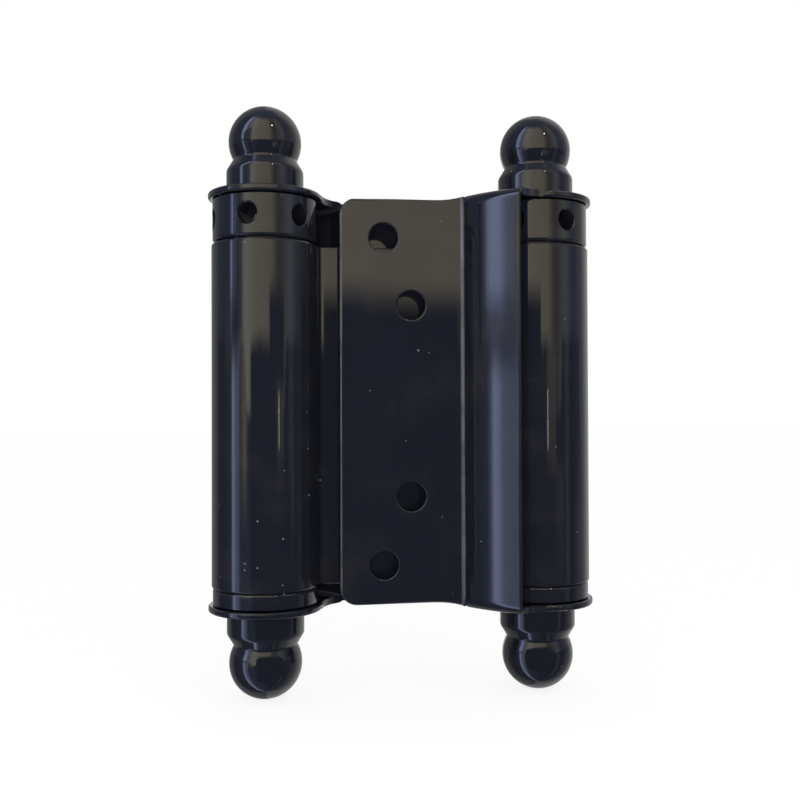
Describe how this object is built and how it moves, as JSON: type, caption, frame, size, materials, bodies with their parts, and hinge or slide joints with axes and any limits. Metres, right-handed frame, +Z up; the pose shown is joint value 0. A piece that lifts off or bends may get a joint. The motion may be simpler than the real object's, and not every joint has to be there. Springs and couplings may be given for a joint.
{
  "type": "double action cafe hinge",
  "caption": "Double action spring hinge for a swing door: pressed leaves on sprung barrels with ball tips, joined by a rolled centre web, gloss black.",
  "frame": {"origin": "middle of the centre web, halfway between the two spindle axes and halfway up the hinge", "axes": "+Z up along the spindles, +X from the jamb barrel to the door barrel, -Y out of the door leaf's mounting face"},
  "size_m": [0.0712, 0.0264, 0.1076],
  "materials": {
    "black_enamel": "gloss black stoved enamel on pressed steel",
    "spindle_steel": "drawn steel rod",
    "spring_steel": "oiled spring steel"
  },
  "bodies": {
    "jamb": {"jamb_leaf": "black_enamel", "jamb_spindle": "spindle_steel", "jamb_top_finial": "black_enamel", "jamb_bottom_finial": "black_enamel"},
    "web": {"centre_web": "black_enamel", "jamb_spring_anchor": "black_enamel", "door_spring_anchor": "black_enamel", "jamb_spring": "spring_steel", "door_spring": "spring_steel"},
    "door": {"door_leaf": "black_enamel", "door_spindle": "spindle_steel", "door_top_finial": "black_enamel", "door_bottom_finial": "black_enamel"},
    "jamb_collar": {"jamb_tension_collar": "black_enamel"},
    "door_collar": {"door_tension_collar": "black_enamel"}
  },
  "joints": [
    {"name": "jamb_barrel", "type": "hinge", "parent": "jamb", "child": "web", "pos_m": [-0.0253, 0, 0], "axis": [0, 0, -1], "range_deg": [0, 120], "stiffness_Nm_per_rad": 1, "deforming": ["jamb_spring"]},
    {"name": "door_barrel", "type": "hinge", "parent": "web", "child": "door", "pos_m": [0.0253, 0, 0], "axis": [0, 0, 1], "range_deg": [0, 120], "stiffness_Nm_per_rad": 1, "deforming": ["door_spring"]},
    {"name": "jamb_tension", "type": "hinge", "parent": "jamb", "child": "jamb_collar", "pos_m": [-0.0253, 0, 0], "axis": [0, 0, 1], "range_deg": [0, 180], "stiffness_Nm_per_rad": 1, "deforming": ["jamb_spring"]},
    {"name": "door_tension", "type": "hinge", "parent": "door", "child": "door_collar", "pos_m": [0.0253, 0, 0], "axis": [0, 0, 1], "range_deg": [0, 180], "stiffness_Nm_per_rad": 1, "deforming": ["door_spring"]}
  ]
}
